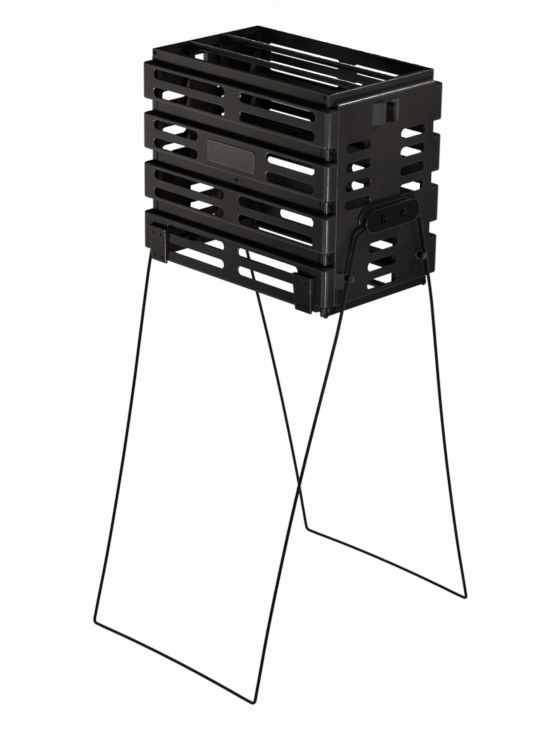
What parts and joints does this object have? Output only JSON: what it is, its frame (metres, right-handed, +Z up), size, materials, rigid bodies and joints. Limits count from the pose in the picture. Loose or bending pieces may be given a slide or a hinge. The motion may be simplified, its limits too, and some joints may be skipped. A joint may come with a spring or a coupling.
{
  "type": "tennis ball hopper",
  "caption": "Black slotted plastic tennis ball basket with rods across the mouth and bottom, on two folding legs of bent steel wire that also swing up as handles.",
  "frame": {"origin": "on the floor under the middle of the basket, legs down", "axes": "+X along the basket to the right end, +Y to the back, +Z up"},
  "size_m": [0.4498, 0.5308, 0.974],
  "materials": {
    "basket_plastic": "fine moulded grain, satin",
    "badge_plastic": "satin, bare",
    "plate_plastic": "glossy moulded plastic",
    "peg_plastic": "glossy moulded plastic",
    "leg_wire": "glossy black coating on steel wire",
    "rod_steel": "glossy black coating on steel rod",
    "screw_steel": "black zinc"
  },
  "bodies": {
    "basket": {"back_middle_screw": "screw_steel", "back_panel": "basket_plastic", "back_rim_screw_left": "screw_steel", "back_rim_screw_right": "screw_steel", "badge_plate": "badge_plastic", "bottom_rod_back": "rod_steel", "bottom_rod_front": "rod_steel", "bracket_screw_1": "screw_steel", "bracket_screw_2": "screw_steel", "bracket_screw_3": "screw_steel", "bracket_screw_4": "screw_steel", "bracket_screw_5": "screw_steel", "bracket_screw_6": "screw_steel", "bracket_screw_7": "screw_steel", "bracket_screw_8": "screw_steel", "front_middle_screw": "screw_steel", "front_panel": "basket_plastic", "front_rim_screw_left": "screw_steel", "front_rim_screw_right": "screw_steel", "left_bracket": "basket_plastic", "left_corner_screw_1": "screw_steel", "left_corner_screw_2": "screw_steel", "left_corner_screw_3": "screw_steel", "left_corner_screw_4": "screw_steel", "left_corner_screw_5": "screw_steel", "left_corner_screw_6": "screw_steel", "left_corner_screw_7": "screw_steel", "left_corner_screw_8": "screw_steel", "left_end_panel": "basket_plastic", "left_leg_stop_1": "peg_plastic", "left_leg_stop_2": "peg_plastic", "left_pivot_plate": "plate_plastic", "left_plate_screw_1": "screw_steel", "left_plate_screw_2": "screw_steel", "right_bracket": "basket_plastic", "right_corner_screw_1": "screw_steel", "right_corner_screw_2": "screw_steel", "right_corner_screw_3": "screw_steel", "right_corner_screw_4": "screw_steel", "right_corner_screw_5": "screw_steel", "right_corner_screw_6": "screw_steel", "right_corner_screw_7": "screw_steel", "right_corner_screw_8": "screw_steel", "right_end_panel": "basket_plastic", "right_leg_stop_1": "peg_plastic", "right_leg_stop_2": "peg_plastic", "right_pivot_plate": "plate_plastic", "right_plate_screw_1": "screw_steel", "right_plate_screw_2": "screw_steel", "top_rod_back": "rod_steel", "top_rod_front": "rod_steel"},
    "front_leg": {"front_leg": "leg_wire"},
    "back_leg": {"back_leg": "leg_wire"}
  },
  "joints": [
    {"name": "front_leg_swing", "type": "hinge", "parent": "basket", "child": "front_leg", "pos_m": [0, -0.034, 0.7675], "axis": [-1, 0, 0], "range_deg": [0, 165.3]},
    {"name": "back_leg_swing", "type": "hinge", "parent": "basket", "child": "back_leg", "pos_m": [0, 0.034, 0.7675], "axis": [1, 0, 0], "range_deg": [0, 165.3]}
  ]
}
